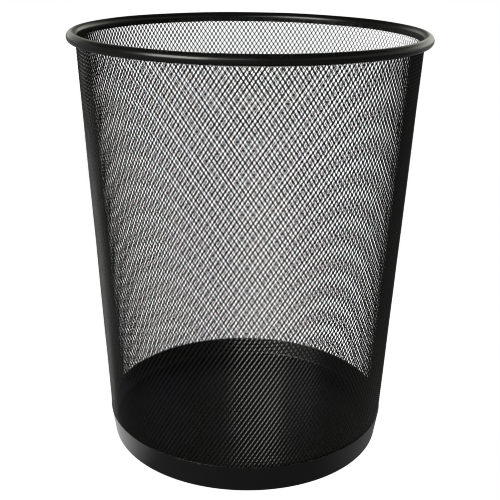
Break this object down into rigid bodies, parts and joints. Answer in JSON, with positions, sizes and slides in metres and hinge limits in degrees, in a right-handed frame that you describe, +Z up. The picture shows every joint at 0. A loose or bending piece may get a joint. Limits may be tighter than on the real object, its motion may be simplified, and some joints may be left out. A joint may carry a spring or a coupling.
{
  "type": "wastebasket",
  "caption": "Round open-top wastebasket with a flared expanded-steel mesh wall, rolled tube rim and solid raised floor in a plain foot hoop, all coated black.",
  "frame": {"origin": "middle of the foot ring, on the surface the basket stands on", "axes": "+Z up along the basket's axis, -Y towards the viewer, +X to the right; the wall's lap seam is 8 degrees round from +X towards +Y and the rim's closing weld is 30 degrees round from +X towards +Y"},
  "size_m": [0.2964, 0.2964, 0.36],
  "materials": {
    "rim": "black powder coat, satin",
    "mesh": "black powder coat, satin",
    "base": "black powder coat, satin"
  },
  "bodies": {
    "root": {"rim_tube": "rim", "rim_weld": "rim", "mesh_wall": "mesh", "seam_welds": "mesh", "base_band": "base", "floor_pan": "base"}
  },
  "joints": []
}
